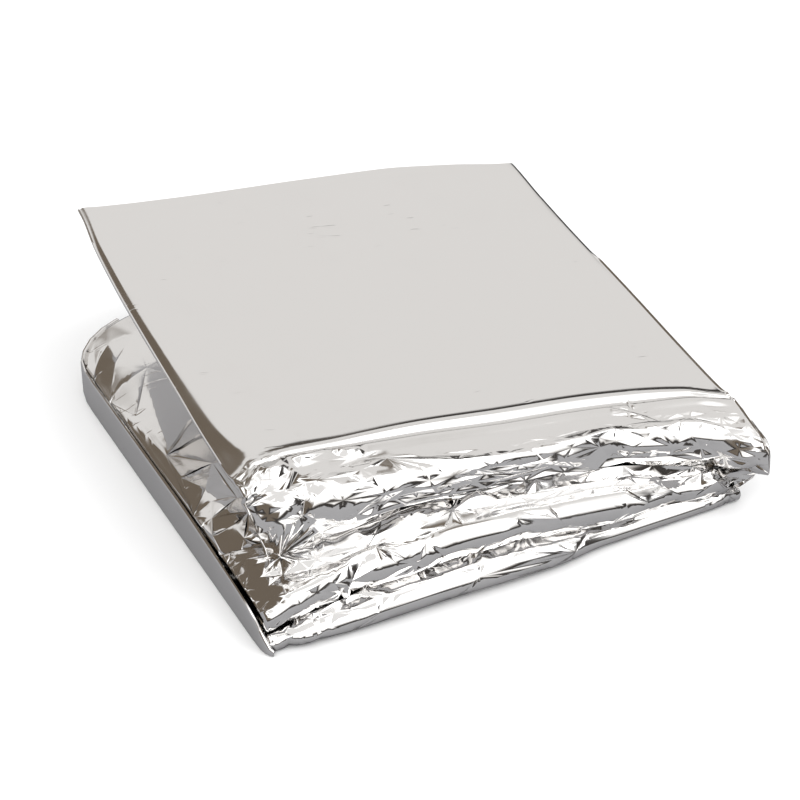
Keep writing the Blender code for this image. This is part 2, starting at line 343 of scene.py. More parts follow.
# ---- creases pressed in ----
# each is a line over the flat sheet: its fold, then rows of distance along the sheet from
# that fold's nose, distance across, and height of the ridge (or depth of the groove)
PLEAT_TIP = (-2.8, 2.6, 0.7)
PLEATS = [(1.2, 4.4, 0.3), (1.1, 5.0, -0.2), (0.9, 5.7, 0.3), (0.6, 6.4, -0.25),
          (0.3, 7.2, 0.3), (0.0, 8.0, -0.25), (-0.4, 8.8, 0.3), (-0.9, 9.6, -0.2),
          (-1.6, 10.4, 0.5)]
CREASES = [
    ("top", [(5.6, 13.4, 0.35), (5.7, 21.8, 0.4), (7.3, 27.8, 0.3), (3.7, 39.7, 0.4),
             (3.5, 48.1, 0.45), (2.5, 54.6, 0.4), (3.6, 64.9, 0.5), (3.9, 72.1, 0.4),
             (3.3, 79.6, 0.6), (4.5, 85.1, 0.4), (4.2, 89.1, 0.5), (3.9, 92.2, 0.3)]),
    ("top", [(7.6, 17.0, -0.2), (8.8, 24.0, -0.3), (6.4, 36.0, -0.2), (5.4, 42.0, -0.4),
             (5.2, 47.0, -0.2), (4.8, 52.0, -0.4), (5.0, 60.0, -0.2), (5.8, 68.0, -0.4),
             (5.4, 74.0, -0.2), (6.0, 82.0, -0.4), (6.4, 88.0, -0.3)]),
    ("top", [(-1.6, 19.3, 0.7), (-2.0, 27.0, 0.7), (-2.2, 35.0, 0.6), (-2.4, 43.1, 0.7),
             (-2.5, 50.8, 0.6), (-2.0, 59.5, 0.8), (-2.6, 66.0, 0.6), (-1.5, 73.3, 0.6),
             (-1.2, 82.0, 0.8), (-1.3, 88.8, 0.7)]),
    ("top", [(2.0, 16.0, -0.35), (1.0, 24.0, 0.3), (1.6, 33.0, -0.3)]),
    ("top", [(-0.4, 25.0, -0.3), (0.3, 33.0, 0.3), (0.2, 44.0, -0.35), (-0.5, 53.0, 0.3)]),
    ("top", [(1.8, 42.0, 0.1), (1.0, 51.0, -0.3), (0.6, 60.0, 0.35), (1.4, 68.0, -0.3)]),
    ("top", [(-1.2, 73.3, -0.1), (1.0, 74.6, 0.5), (0.9, 82.4, 0.5), (-0.8, 81.9, 0.0)]),
    # the left end of the top fold: a hollow, and pleats that run together at its tip
    ("top", [(4.3, 5.3, 0.2), (2.8, 9.9, -0.6), (0.8, 8.2, -0.7), (1.7, 3.9, 0.2)]),
    *[("top", [PLEAT_TIP, pleat]) for pleat in PLEATS],
    ("top", [(4.5, 6.8, 0.5), (8.6, 10.6, 0.45)]), ("top", [(5.0, 8.3, -0.35), (8.8, 11.8, -0.2)]),
    # pockets in front of the pinched line
    ("crease", [(-0.9, 4.8, 0.0), (-2.2, 5.0, -0.05), (-3.3, 5.3, 0.45), (-4.5, 5.5, 1.0),
                (-5.3, 5.8, 1.25), (-5.4, 8.6, 1.2), (-4.5, 9.0, 1.0), (-3.3, 9.4, 0.45),
                (-2.2, 9.8, -0.05), (-0.9, 10.0, 0.0)]),
    ("crease", [(-2.2, 5.0, -0.05), (-2.2, 9.8, -0.05)]),
    ("crease", [(-3.3, 5.3, 0.45), (-3.3, 9.4, 0.45)]),
    ("crease", [(-5.3, 5.8, 1.25), (-7.4, 6.8, 0.2), (-5.4, 8.6, 1.2)]),
    ("crease", [(-1.0, 12.2, 0.0), (-2.3, 12.4, -0.04), (-3.4, 12.7, 0.45), (-4.1, 13.0, 0.7),
                (-2.9, 18.0, 0.2), (-2.3, 18.2, -0.04), (-1.0, 18.4, 0.0)]),
    ("crease", [(-2.3, 12.4, -0.04), (-2.3, 18.2, -0.04)]),
    ("crease", [(-4.1, 13.0, 0.7), (-4.9, 13.2, 0.1), (-3.6, 18.0, 0.0)]),
    ("crease", [(-1.3, 19.6, 0.0), (-2.6, 19.8, -0.04), (-3.7, 20.4, 0.45), (-4.7, 21.2, 0.9),
                (-4.3, 24.0, 0.7), (-3.7, 24.3, 0.45), (-2.6, 24.6, -0.04), (-1.4, 24.8, 0.0)]),
    ("crease", [(-2.6, 19.8, -0.04), (-2.6, 24.6, -0.04)]),
    ("crease", [(-3.7, 20.4, 0.45), (-3.7, 24.3, 0.45)]),
    ("crease", [(-4.7, 21.2, 0.9), (-5.9, 22.0, 0.1), (-4.3, 24.0, 0.7)]),
    ("crease", [(-6.6, 9.6, 0.1), (-5.0, 10.4, 0.0), (-3.3, 10.7, 0.0), (-1.0, 10.8, 0.0)]),
    ("crease", [(-1.0, 11.5, 0.0), (-3.4, 11.7, 0.0), (-4.9, 12.4, 0.05), (-4.9, 13.2, 0.1)]),
    ("crease", [(-1.2, 19.0, 0.0), (-3.0, 19.1, 0.0), (-4.9, 20.3, 0.0), (-5.9, 22.0, 0.1),
                (-5.5, 24.2, 0.05), (-4.6, 25.1, 0.0), (-2.8, 25.5, 0.0), (-1.4, 25.6, 0.0)]),
    ("crease", [(-5.0, 77.3, 0.25), (-7.0, 79.2, 0.3), (-10.0, 79.9, 0.2)]),
    ("crease", [(-4.8, 78.3, -0.1), (-6.8, 80.2, -0.1)]),
    # the middle fold: its ridge, the hollow behind it, and dimples in its face
    ("mid", [(2.3, 4.8, 0.5), (1.9, 12.5, 0.4), (2.5, 16.8, 0.45), (3.9, 23.1, 0.4),
             (2.1, 31.6, 0.2)]),
    ("mid", [(10.2, 5.0, 0.2), (9.7, 7.9, -0.2), (6.7, 13.0, -0.5), (4.9, 22.0, -0.2)]),
    ("mid", [(6.8, 6.5, -0.8), (5.4, 11.0, -0.9), (4.6, 16.0, -0.4)]),
    ("mid", [(1.2, 13.4, -0.2), (-0.6, 14.2, -0.7), (-2.4, 14.9, -0.3)]),
    ("mid", [(0.6, 16.3, -0.2), (-1.0, 16.5, -0.8), (-2.6, 16.7, -0.3)]),
    ("mid", [(0.6, 14.9, 0.35), (-1.2, 15.5, 0.35)]),
    ("mid", [(-1.6, 27.6, 0.3), (-0.5, 28.9, -0.5), (-0.8, 31.0, 0.3)]),
    ("mid", [(2.2, 46.0, 0.0), (1.6, 50.0, 0.22), (0.8, 57.0, 0.25), (1.0, 62.5, 0.0)]),
    ("mid", [(6.2, 80.9, 0.9), (4.9, 81.3, 0.45), (2.5, 81.3, 0.15)]),
    ("mid", [(6.0, 82.1, 0.5), (4.7, 82.5, 0.0), (2.6, 82.3, -0.1)]),
    ("mid", [(0.4, 74.9, 0.3), (1.0, 82.1, 0.4), (4.4, 88.0, 0.4), (7.4, 94.0, 0.4)]),
    ("mid", [(-3.2, 9.0, 0.3), (-3.4, 20.0, 0.35), (-3.0, 30.0, 0.3), (-2.8, 42.0, 0.35),
             (-2.4, 52.0, 0.3), (-2.0, 62.0, 0.3), (-1.8, 70.0, 0.2)]),
    # the dark pocket at the right end
    ("mid", [(4.0, 90.8, 0.9), (1.0, 91.0, 1.5), (-2.5, 91.4, 0.9), (-5.0, 92.0, 0.3)]),
    ("mid", [(4.6, 95.2, -0.5), (1.5, 94.8, -0.5), (-1.5, 94.6, -0.5), (-4.5, 94.8, -0.5)]),
    ("lip", [(3.5, 93.8, 0.7), (2.5, 94.2, 0.6), (0.5, 94.4, 0.2)]),
    # beside the hem the shelf slopes down to it
    ("mid", [(3.5, 0.0, -0.8), (5.5, 0.0, -0.9), (7.5, 0.0, -0.9), (9.5, 0.0, -0.9),
             (11.5, 0.0, -0.9), (13.5, 0.0, -0.9), (15.5, 0.0, -0.8), (17.5, 0.0, -0.7),
             (19.5, 0.0, -0.5)]),
    ("mid", [(3.9, 3.0, 0.0), (5.5, 3.2, 0.1), (7.5, 3.2, 0.1), (9.5, 3.0, 0.1), (11.5, 2.8, 0.1),
             (13.5, 2.2, 0.1), (15.5, 1.8, 0.0)]),
    # the shelf and the lip's back, pressed up against the folds that lie on them
    ("mid", [(9.0, 22.0, 0.3), (9.4, 34.0, 0.5), (9.2, 46.0, 0.8), (9.0, 58.0, 1.2),
             (9.0, 70.0, 1.7), (8.6, 76.0, 2.0), (8.4, 82.0, 1.9), (7.8, 90.0, 1.5)]),
    ("mid", [(11.8, 60.0, 0.6), (11.8, 70.0, 1.1), (11.4, 76.0, 1.4), (11.2, 82.0, 1.3),
             (10.6, 90.0, 0.8)]),
    ("mid", [(6.8, 40.0, 0.2), (6.5, 52.0, 0.45), (6.4, 64.0, 0.75), (6.2, 76.0, 0.85)]),
    ("lip", [(3.4, 9.0, 0.7), (3.9, 14.0, 0.8), (4.4, 20.0, 0.8), (5.2, 32.0, 0.7),
             (5.8, 44.0, 0.7), (5.6, 54.0, 1.0), (5.0, 64.0, 1.4), (4.6, 70.0, 1.6),
             (4.0, 76.0, 1.8), (3.8, 84.0, 1.8), (3.8, 92.0, 1.5)]),
    ("lip", [(0.5, 20.0, 0.12), (0.8, 40.0, -0.1), (0.3, 60.0, 0.1)]),
    ("lip", [(-1.0, 15.0, 0.15), (-1.2, 35.0, -0.1), (-0.8, 55.0, 0.12)]),
]
# the same on the gap's floor: rows of distance back, distance from the left, and height
# over the ground
FLOOR_CREASES = [
    # where the film meets the hem
    [(104.6, 0.9, 7.36), (81.4, 0.9, 6.9), (35.2, 0.9, 7.6), (31.2, 0.9, 7.8), (20.0, 0.9, 8.2)],
    # the long bevel beside it, and the pale wedge that leans on it
    [(81.4, 0.9, 6.9), (72.0, 3.4, 8.2), (54.0, 3.3, 9.3), (46.0, 3.2, 8.9), (35.2, 0.9, 7.6)],
    [(81.4, 0.9, 6.9), (86.9, 10.8, 9.6), (54.0, 3.3, 9.3)],
    [(72.0, 3.4, 8.2), (86.9, 10.8, 9.6)],
    # the big facet by the back corner, and the blade behind it
    [(86.9, 10.8, 9.6), (93.4, 6.4, 8.58), (104.6, 2.5, 7.8)],
    [(93.4, 6.4, 8.58), (104.6, 7.4, 9.2), (102.3, 13.4, 9.2)],
    # behind the grey wedge the floor is level
    [(104.0, 24.0, 9.3), (91.0, 24.0, 9.4), (73.0, 22.0, 9.3), (58.0, 20.0, 9.2)],
    # the lower wedge and the fold across in front of it
    [(54.0, 3.3, 9.3), (48.2, 9.8, 8.9)],
    [(46.0, 3.2, 8.9), (40.3, 5.6, 9.2), (32.7, 8.6, 10.6)],
    [(35.2, 0.9, 7.6), (35.3, 5.0, 9.5), (32.7, 8.6, 10.6), (31.0, 3.6, 8.9), (31.2, 0.9, 7.8)],
    [(31.0, 3.6, 8.9), (26.2, 1.8, 8.6), (20.3, 1.8, 8.8)],
    [(27.0, 8.4, 10.8), (26.0, 5.2, 9.7), (21.0, 5.2, 10.0)],
]

# ---- crumple: where the film is crinkled, how deeply and how finely ----
# fold, from and to (along the sheet from its nose), left, right, depth, facet length
# across the sheet, facet length along it
CRUMPLE = [
    ("top", -3.0, 4.2, 12.0, 56.0, 0.36, 4.0, 1.3),
    ("top", -3.0, 4.2, 54.0, 92.0, 0.20, 5.0, 1.7),
    ("top", -8.0, 7.0, -2.0, 12.0, 0.45, 1.5, 1.4),
    ("mid", -6.0, 3.0, -2.0, 7.0, 0.35, 1.6, 1.5),
    ("lip", -4.0, 6.0, -2.0, 11.0, 0.40, 1.4, 1.1),
    ("top", 2.0, 9.0, 92.0, 101.0, 0.45, 1.8, 1.7),
    ("top", -7.0, 3.0, 89.0, 101.0, 1.20, 2.0, 1.7),
    ("crease", -7.0, 1.0, -2.0, 12.0, 0.25, 2.0, 1.3),
    ("mid", -6.0, 8.0, 91.0, 101.0, 1.30, 1.6, 1.5),
    ("lip", 0.5, 6.0, 92.0, 101.0, 0.90, 1.6, 1.4),
]
SEED = 7
LONGEST_RIDGE = 25.0        # longer lines of the net only join one fold to the next
DEEPEST = 0.5               # a hollow never reaches the sheet's other face
FADE = 1.5                  # crumple fades out over this distance at its zone's border
TRIES = 12                  # draws for each facet that a zone should hold
APART = 0.55                # squared distance between facet corners, 1 is a facet's size
ZONE_EDGE = 3               # corners this far outside a zone still keep new ones away
# level points round the crumple, so that a crease fades out on smooth film
LEVEL_ZONES = (("lip", -6, 8), ("mid", -7, 14), ("top", -8, 15), ("crease", 1, 3))
LEVEL_STEP = 2.0
LEVEL_COLUMNS = 40
LEVEL_DRIFT = (0.4, 0.5)    # each is moved by up to this, along and across
LEVEL_ROOM = 1.9            # and keeps this far from the others
STRETCH = 0.4               # facets lie along the folds, so lengths across count for less
# level points round the gap's floor
RING_STEP = 5.0
RING_COLUMNS = 20
RING_ROWS = 12
RING_OUT = 8.0              # how far before the floor's two ends they lie
RING_BACK = 14.0            # and a second row before its back end
FLOOR_RIGHT = 45.0          # to the right of this the floor is level
RING_MOUTH = ((-5.0, 0.0), (-5.0, 4.0), (0.0, 0.0), (9.0, 0.0))     # at the left mouth
SHEET_CORNERS = [(0.0, 0.0), (0.0, WIDTH), (SHEET_END, 0.0), (SHEET_END, WIDTH)]
JOIN = 1e-5                 # points closer than this are one


def zone_share(zone, along, across):
    """How far inside a crumple zone a point lies, 0 outside to 1."""
    fold, start, end, left, right = zone[:5]
    start, end = NOSE[fold] + start, NOSE[fold] + end
    inside = min(along - start, end - along, across - left, right - across)
    return smooth(inside / FADE)


def floor_spot(back, across):
    """Distance along the sheet at which the fifth layer lies this far back."""
    line = MIDDLE[round(across / WIDTH * (STATIONS - 1)), NOSE_ROW["floor"]:NOSE_ROW["top"], 1]
    return float(np.interp(-back, -line, ALONG[NOSE_ROW["floor"]:NOSE_ROW["top"]]))


def pressed_lines(table):
    """The listed creases as points, heights and lines of one net."""
    points, heights, lines = [], [], []
    for rows in table:
        before = None
        for along, across, height in rows:
            spot = (along, across)
            if spot in points:
                here = points.index(spot)
            else:
                here = len(points)
                points.append(spot)
                heights.append(height)
            if before is not None:
                lines.append((before, here))
            before = here
    return points, heights, lines


def make_net(points, heights, lines, stretch=1.0):
    """Triangles between points of the flat sheet, with the given lines among their edges."""
    flat = [Vector((a, b * stretch)) for a, b in points]
    verts, _, faces, origin, _, _ = delaunay_2d_cdt(flat, lines, [], 0, JOIN)
    return ([(v.x, v.y / stretch) for v in verts], [heights[o[0]] if o else 0.0 for o in origin],
            faces)


def floor_net():
    """Facets of the gap's floor."""
    rows = slice(NOSE_ROW["floor"], NOSE_ROW["top"])

    def press(back, left, height):
        across = max((left - LEFT_SIDE) * WIDTH / (LEAF_WIDTH - LEFT_SIDE), 0.0)
        along = floor_spot(back, across)
        line = MIDDLE[round(across / WIDTH * (STATIONS - 1)), rows, 2]
        level = float(np.interp(along, ALONG[rows], line)) + HALF
        return along, across, height - level

    points, heights, lines = pressed_lines([[press(*spot) for spot in row]
                                            for row in FLOOR_CREASES])
    start, end = NOSE["floor"] - RING_OUT, NOSE["top"] - RING_OUT
    columns = [n * RING_STEP for n in range(RING_COLUMNS)]
    ring = [(start, across) for across in columns] + [(end, across) for across in columns[2:]]
    ring += [(start + (end - start) * n / RING_ROWS, FLOOR_RIGHT)
             for n in range(RING_ROWS + 1)]
    ring += [(start - RING_BACK, across) for across in columns] + SHEET_CORNERS
    ring += [(NOSE["top"] + along, across) for along, across in RING_MOUTH]
    return make_net(points + ring, heights + [0.0] * len(ring), lines)


def facet_net(seed):
    """The crumple's big facets: a net of triangles over the flat sheet with heights."""
    draw = random.Random(seed)
    table = [[(NOSE[fold] + along, across, h) for along, across, h in rows]
             for fold, rows in CREASES]
    points, heights, lines = pressed_lines(table)
    placed = list(points)
    for zone in CRUMPLE:
        fold, start, end, left, right, depth, long, short = zone
        start, end = NOSE[fold] + start, NOSE[fold] + end
        count = int((end - start) * (right - left) / (long * short))
        kept = [p for p in placed if start - ZONE_EDGE < p[0] < end + ZONE_EDGE]
        for _ in range(count * TRIES):
            along, across = draw.uniform(start, end), draw.uniform(left, right)
            if not 0 <= across <= WIDTH:
                continue
            if all(((along - a) / short) ** 2 + ((across - b) / long) ** 2 > APART
                   for a, b in kept):
                kept.append((along, across))
                points.append((along, across))
                share = zone_share(zone, along, across)
                heights.append(max(share * depth * draw.uniform(-1.0, 1.0), -DEEPEST))
    drift_along, drift_across = LEVEL_DRIFT
    for fold, start, end in LEVEL_ZONES:
        level = NOSE[fold] + start
        while level < NOSE[fold] + end:
            for n in range(LEVEL_COLUMNS + 1):
                spot = (level + draw.uniform(-drift_along, drift_along),
                        WIDTH * n / LEVEL_COLUMNS + draw.uniform(-drift_across, drift_across))
                if (0 <= spot[1] <= WIDTH
                        and all(math.dist(spot, p) > LEVEL_ROOM for p in points)):
                    points.append(spot)
                    heights.append(0.0)
            level += LEVEL_STEP
    return make_net(points + SHEET_CORNERS, heights + [0.0] * len(SHEET_CORNERS), lines,
                    STRETCH)


def net_surface(net):
    """The net as a surface to look heights up on."""
    points, heights, faces = net
    tree = BVHTree.FromPolygons([(a, b, h) for (a, b), h in zip(points, heights)], faces)

    def height(along, across):
        hit = tree.ray_cast(Vector((along, across, 50.0)), Vector((0, 0, -1)))[0]
        return hit.z if hit else 0.0

    return height


# ---- mesh rows: how close together the mesh's points lie on each side ----
EDGE_COLUMNS = (0.0, 0.15, 0.4, 0.9, 1.4, 1.9, 2.5, 3.2, 4.0)
EDGE_ROUND = (0.4, 0.35)    # every side edge is rounded off: how wide and how deep
LEAF_EDGE = (EDGE_COLUMNS[:4], (-0.05, 0.06, -0.16, 0.0))   # the upper leaf's creased left edge
RIGHT_ROLL = (2.4, 0.24)    # its right edge is rolled down: how wide and how deep
ROLL_BLEND = 6.0            # over this distance the two begin, behind the front crease
ROLL_AHEAD = 8.0            # and the roll begins this much before it
SIDE_ROOM = 0.5             # a ridge that runs along the very edge is left out
FLATTEST = 0.05             # and one that is lower than this
RIDGE_STEP, RIDGE_ROOM = 0.25, 0.19     # mesh points this close to a ridge make way for it
COARSE, MEDIUM, FINE = (6.0, 4.0), (1.5, 1.2), (0.5, 0.55)      # spacing along, across
lip, mid, top = NOSE["lip"], NOSE["mid"], NOSE["top"]
# where each stretch of rows starts along the sheet, and its spacing
front_rows = [
    (0.0, *COARSE), (lip - 8, *MEDIUM), (lip - 4, *FINE), (lip + 7, *MEDIUM),
    (lip + 12, *COARSE), (mid - 12, *MEDIUM), (mid - 7, *FINE), (mid + 16, *MEDIUM),
    (mid + 22, *COARSE), (top - 14, *MEDIUM), (top - 9, *FINE), (NOSE["crease"] + 1.2, 1.3, 1.3),
]
back_rows = [(0.0, 4.0, 3.0), (NOSE["floor"] - 6, 0.9, 0.8), (top - 20, 0.8, 0.8),
             (top + 10, 2.0, 2.0)]


def spread_points(row_table):
    """The flat sheet's mesh points, in rows a set distance apart."""
    points = []
    row = 0
    first = EDGE_COLUMNS[-1]
    ends = [start for start, _, _ in row_table[1:]] + [SHEET_END]
    for (start, along_gap, across_gap), end in zip(row_table, ends):
        count = max(1, round((end - start) / along_gap))
        inner = max(1, round((WIDTH - 2 * first) / across_gap))
        for k in range(count + (end == SHEET_END)):
            along = start + (end - start) * k / count
            shift = 0.5 if row % 2 else 0.0
            line = [first + (WIDTH - 2 * first) * (m + shift) / inner
                    for m in range(inner + (shift == 0.0))]
            if shift:
                line = [first] + line + [WIDTH - first]
            line = list(EDGE_COLUMNS[:-1]) + line + [WIDTH - e for e in EDGE_COLUMNS[-2::-1]]
            points += [(along, across) for across in line]
            row += 1
    return points


def net_ridges(net, side):
    """The lines of a net that the mesh's edges follow, as pairs of the net's points."""
    net_points, net_heights, net_faces = net
    fold = NOSE["floor"] - 0.5
    ridges = set()
    for face in net_faces:
        for p, q in zip(face, face[1:] + face[:1]):
            a, b = net_points[p], net_points[q]
            at_side = max(a[1], b[1]) < SIDE_ROOM or min(a[1], b[1]) > WIDTH - SIDE_ROOM
            over_fold = side < 0 and min(a[0], b[0]) < fold < max(a[0], b[0])
            if at_side or over_fold or math.dist(a, b) > LONGEST_RIDGE:
                continue
            if abs(net_heights[p]) + abs(net_heights[q]) > FLATTEST:
                ridges.add((min(p, q), max(p, q)))
    return ridges


def surface(side, row_table, net):
    """One face of the sheet: its points over the flat sheet and in the packet, in
    millimetres, and its triangles.  The side is 1 for the outer face and -1 for the inner."""
    points = spread_points(row_table)
    tree = KDTree(len(points))
    for n, (a, b) in enumerate(points):
        tree.insert((a, b, 0.0), n)
    tree.balance()
    net_points = net[0]
    ridges = net_ridges(net, side)
    drop = set()
    for p, q in ridges:
        a, b = Vector(net_points[p]), Vector(net_points[q])
        count = max(2, int((b - a).length / RIDGE_STEP))
        for k in range(count + 1):
            c = a.lerp(b, k / count)
            for _, n, _ in tree.find_range((c.x, c.y, 0.0), RIDGE_ROOM):
                if EDGE_COLUMNS[3] <= points[n][1] <= WIDTH - EDGE_COLUMNS[3]:
                    drop.add(n)
    points = [spot for n, spot in enumerate(points) if n not in drop]
    used = sorted({p for ridge in ridges for p in ridge})
    number = {p: len(points) + n for n, p in enumerate(used)}
    points += [net_points[p] for p in used]
    edges = [(number[p], number[q]) for p, q in ridges]
    flat = [Vector(p) for p in points]
    verts, _, faces, _, _, _ = delaunay_2d_cdt(flat, edges, [], 0, JOIN)
    spots = np.array([(v.x, v.y) for v in verts])
    look = net_surface(net)
    heights = np.array([look(a, b) for a, b in spots])

    wide, deep = EDGE_ROUND
    edge = np.minimum(spots[:, 1], WIDTH - spots[:, 1])
    rounded = -deep * (1 - np.clip(edge / wide, 0, 1)) ** 2
    creased = np.interp(spots[:, 1], *LEAF_EDGE)
    behind = spots[:, 0] - NOSE["crease"]
    leaf = np.clip(behind / ROLL_BLEND, 0, 1) * (spots[:, 1] < WIDTH / 2)
    heights += rounded + (creased - rounded) * leaf * (side == 1)
    wide, deep = RIGHT_ROLL
    inside = np.clip(1 - (WIDTH - spots[:, 1]) / wide, 0, 1)
    rolled = np.clip((behind + ROLL_AHEAD) / ROLL_BLEND, 0, 1)
    heights -= side * deep * inside ** 2 * rolled
    return spots, on_sheet(spots, heights, side), [list(f) for f in faces]


def rim(spots, test, key):
    """Numbers of the points on one edge of the flat sheet, in order."""
    found = [n for n in range(len(spots)) if test(spots[n])]
    return sorted(found, key=lambda n: spots[n][key])


def zip_rims(first, first_spots, second, second_spots, key, flip):
    """Triangles between an edge of the outer face and the same edge of the inner one, whose
    points are numbered after all of the outer face's."""
    faces = []
    shift = len(first_spots)
    i = j = 0
    while i < len(first) - 1 or j < len(second) - 1:
        step_first = j == len(second) - 1 or (
            i < len(first) - 1
            and first_spots[first[i + 1]][key] <= second_spots[second[j + 1]][key])
        if step_first:
            face = [first[i], first[i + 1], shift + second[j]]
            i += 1
        else:
            face = [first[i], shift + second[j + 1], shift + second[j]]
            j += 1
        faces.append(face[::-1] if flip else face)
    return faces


def add_piece(mesh, sharp_angle):
    """A smooth object of a mesh, with its edges above this many degrees left sharp."""
    mesh.shade_smooth()
    mesh.set_sharp_from_angle(angle=math.radians(sharp_angle))
    piece = bpy.data.objects.new(mesh.name, mesh)
    bpy.context.scene.collection.objects.link(piece)
    return piece


NEAR = 1e-4                 # a point this close to an edge of the flat sheet is on it
SHARP_EDGE, SHARP_FLOOR = 75, 18    # degrees: the film's sharp edges, and the gap's floor's
outer_spots, outer_points, outer_faces = surface(1, front_rows, facet_net(SEED))
inner_spots, inner_points, inner_faces = surface(-1, back_rows, floor_net())
first_inner = len(outer_points)
# each edge of the flat sheet: its test, the order of its points, whether faces turn over
sheet_edges = [
    (lambda p: p[1] < NEAR, 0, False), (lambda p: p[1] > WIDTH - NEAR, 0, True),
    (lambda p: p[0] < NEAR, 1, True), (lambda p: p[0] > SHEET_END - NEAR, 1, False),
]
faces = outer_faces + [[first_inner + n for n in face[::-1]] for face in inner_faces]
for test, key, flip in sheet_edges:
    faces += zip_rims(rim(outer_spots, test, key), outer_spots,
                      rim(inner_spots, test, key), inner_spots, key, flip)
points = np.concatenate([outer_points, inner_points])
points[:, 2] = np.maximum(points[:, 2], 0.0)
mesh = bpy.data.meshes.new("foil_sheet")
mesh.from_pydata([tuple(p * MM) for p in points], [], faces)
mesh.update()
mesh.validate()
bm = bmesh.new()
bm.from_mesh(mesh)
bmesh.ops.recalc_face_normals(bm, faces=bm.faces)
bm.to_mesh(mesh)
bm.edges.ensure_lookup_table()
sharp_floor = [e.is_manifold and min(v.index for v in e.verts) >= first_inner
               and e.calc_face_angle() > math.radians(SHARP_FLOOR) for e in bm.edges]
bm.free()
foil = add_piece(mesh, SHARP_EDGE)
for edge in mesh.edges:
    edge.use_edge_sharp = edge.use_edge_sharp or sharp_floor[edge.index]


class Value:
    """A socket of the shader, to write shader maths as plain expressions."""

    def __init__(self, tree, socket):
        self.tree = tree
        self.socket = socket

    def node(self, kind, settings=None, inputs=None, output=0):
        """A new node: its type, its settings, and what its sockets hold or are linked to."""
        made = self.tree.nodes.new(kind)
        for name, value in (settings or {}).items():
            setattr(made, name, value)
        for name, value in (inputs or {}).items():
            if isinstance(value, Value):
                self.tree.links.new(value.socket, made.inputs[name])
            else:
                made.inputs[name].default_value = value
        return Value(self.tree, made.outputs[output])

    def maths(self, operation, a, b):
        """Math node on two values or numbers."""
        return self.node("ShaderNodeMath", {"operation": operation}, {0: a, 1: b})

    def __add__(self, other):
        return self.maths("ADD", self, other)

    def __radd__(self, other):
        return self.maths("ADD", other, self)

    def __sub__(self, other):
        return self.maths("SUBTRACT", self, other)

    def __rsub__(self, other):
        return self.maths("SUBTRACT", other, self)

    def __mul__(self, other):
        return self.maths("MULTIPLY", self, other)

    def __rmul__(self, other):
        return self.maths("MULTIPLY", other, self)

    def step(self, low, high):
        """Smooth step from 0 at low to 1 at high."""
        return self.node("ShaderNodeMapRange", {"interpolation_type": "SMOOTHSTEP"},
                         {"Value": self, "From Min": low, "From Max": high})

    def mix(self, first, second):
        """Colour between two colours, by this value."""
        return self.node("ShaderNodeMix", {"data_type": "RGBA"},
                         {"Factor": self, 6: first, 7: second}, 2)


# the film: a metal a little less smooth where it is smeared
FILM_COLOUR = (0.86, 0.85, 0.84, 1.0)
SMOOTHEST, SMEARED = 0.07, 0.09
# relief that is too fine for the mesh: how strong, and the height it stands for in metres
DENT_SHARE, SCRATCH_SHARE = 0.25, 0.15
BUMP_STRENGTH, BUMP_HEIGHT = 0.35, 0.0004
film = bpy.data.materials.new("metallised_film")
film.use_nodes = True
film_nodes = Value(film.node_tree, None)
film_shader = film.node_tree.nodes["Principled BSDF"]
on_film = film_nodes.node("ShaderNodeTexCoord", output=3)


def film_noise(place, scale, detail):
    """Soft noise over the film."""
    return film_nodes.node("ShaderNodeTexNoise", {},
                           {"Vector": place, "Scale": scale, "Detail": detail})


smear = film_noise(on_film, 60.0, 3.0)
film_shader.inputs["Base Color"].default_value = FILM_COLOUR
film_shader.inputs["Metallic"].default_value = 1.0
roughness = SMOOTHEST + smear.step(0.35, 0.75) * SMEARED
film.node_tree.links.new(roughness.socket, film_shader.inputs["Roughness"])
# soft dents a centimetre across, and here and there a cluster of fine scratches
dents = film_noise(on_film, 90.0, 2.0)
turned = film_nodes.node("ShaderNodeMapping", {}, {
    "Vector": on_film, "Rotation": (0.0, 0.0, 0.5), "Scale": (160.0, 620.0, 160.0)})
lines = film_noise(turned, 1.0, 1.0)
clusters = film_noise(on_film, 38.0, 1.0)
scratches = lines.step(0.65, 0.72) * clusters.step(0.53, 0.64)
relief = dents * DENT_SHARE + scratches * SCRATCH_SHARE
bump = film_nodes.node("ShaderNodeBump", {}, {
    "Height": relief, "Strength": BUMP_STRENGTH, "Distance": BUMP_HEIGHT})
film.node_tree.links.new(bump.socket, film_shader.inputs["Normal"])
mesh.materials.append(film)
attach(foil, "root")
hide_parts("foil_blanket")


# ---- the hem up the left side ----
# The packet's outermost ply stands up the lower leaf's left side and round its back left
# corner, and its top edge is turned in and down: a strip of the same film, pressed flat.
HEM_FILM = 0.25             # thickness
HEM_LEG = 3.4               # how far the edge that is turned in reaches down
# height of its top edge, by the distance from its front end
HEM_TOP = [(0.0, 0.9), (1.6, 2.4), (5.0, 4.6), (12.0, 5.8), (24.0, 6.5), (42.0, 7.2),
           (102.0, 7.35), (112.0, 7.5), (134.0, 7.3)]
